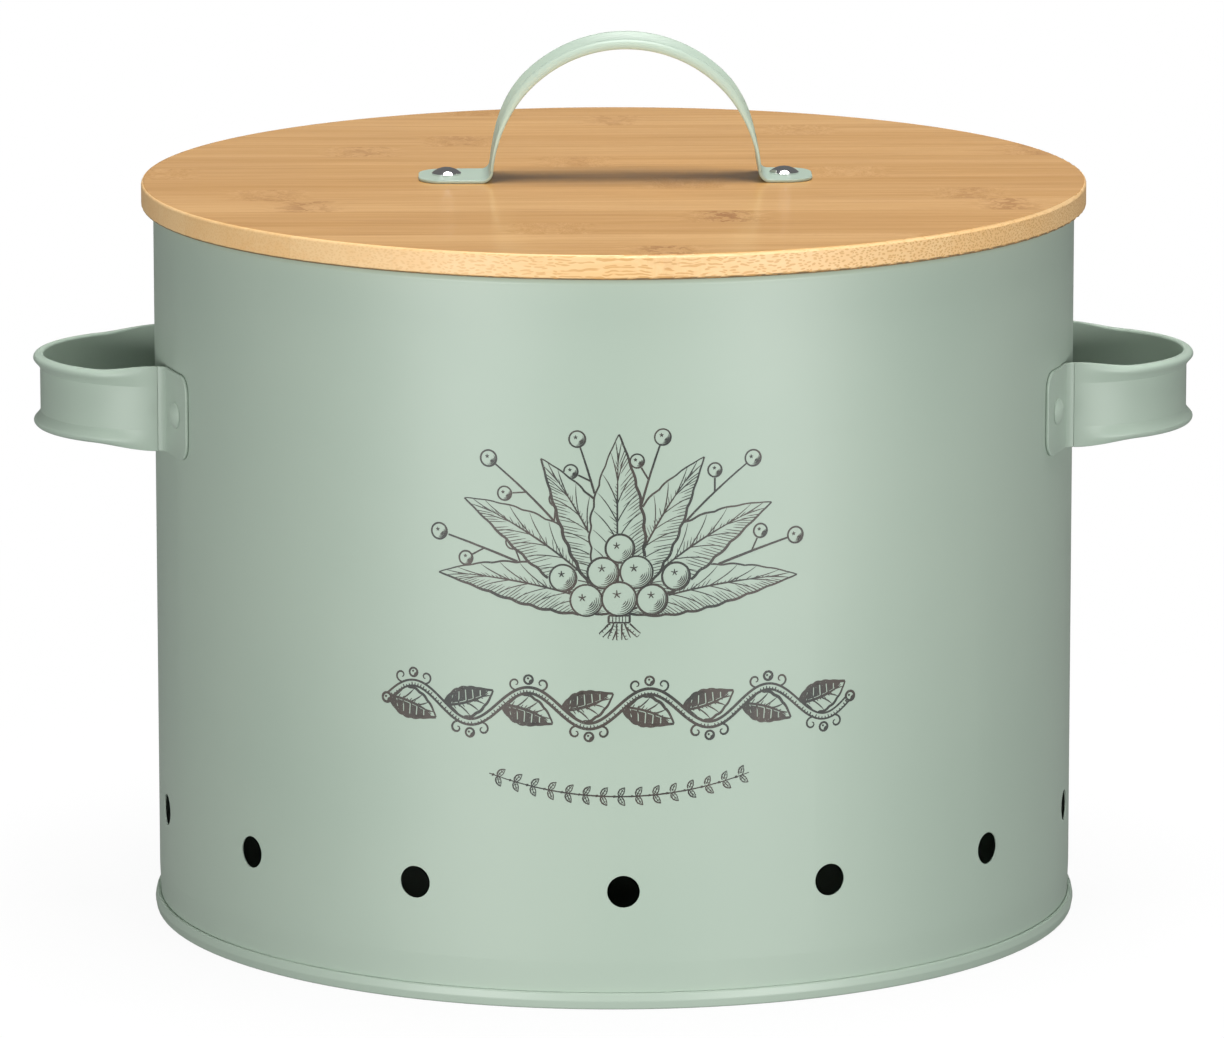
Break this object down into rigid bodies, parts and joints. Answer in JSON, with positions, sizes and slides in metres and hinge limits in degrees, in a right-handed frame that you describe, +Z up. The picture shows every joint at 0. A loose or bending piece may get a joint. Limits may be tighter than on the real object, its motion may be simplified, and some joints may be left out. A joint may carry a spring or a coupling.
{
  "type": "potato storage bin",
  "caption": "Round steel kitchen storage bin with air vents, two riveted strap side handles and a lift-off bamboo lid with a bolted strap handle.",
  "frame": {"origin": "centre of the base on the ground plane", "axes": "+Z up, +X through the two side handles, the front of the bin faces -Y"},
  "size_m": [0.354, 0.2872, 0.2686],
  "materials": {
    "sage_paint": "satin-matt powder coat",
    "bamboo": "satin lacquer",
    "bright_chrome": "polished",
    "zinc_steel": "zinc plated",
    "print_ink": "screen-printed ornament on the drum, added as a thin film by the visual model"
  },
  "bodies": {
    "bin": {"body_wall": "sage_paint", "base_pan": "sage_paint", "side_handle_left": "sage_paint", "side_handle_right": "sage_paint", "side_rivet_left_front": "sage_paint", "side_rivet_left_rear": "sage_paint", "side_rivet_right_front": "sage_paint", "side_rivet_right_rear": "sage_paint"},
    "lid": {"lid_board": "bamboo", "lid_handle": "sage_paint", "lid_cap_nut_left": "bright_chrome", "lid_cap_nut_right": "bright_chrome", "lid_washer_left": "zinc_steel", "lid_washer_right": "zinc_steel", "lid_screw_left": "zinc_steel", "lid_screw_right": "zinc_steel"}
  },
  "joints": [
    {"name": "lid_lift", "type": "slide", "parent": "bin", "child": "lid", "axis": [0, 0, 1], "range_m": [0, 0.12]}
  ]
}
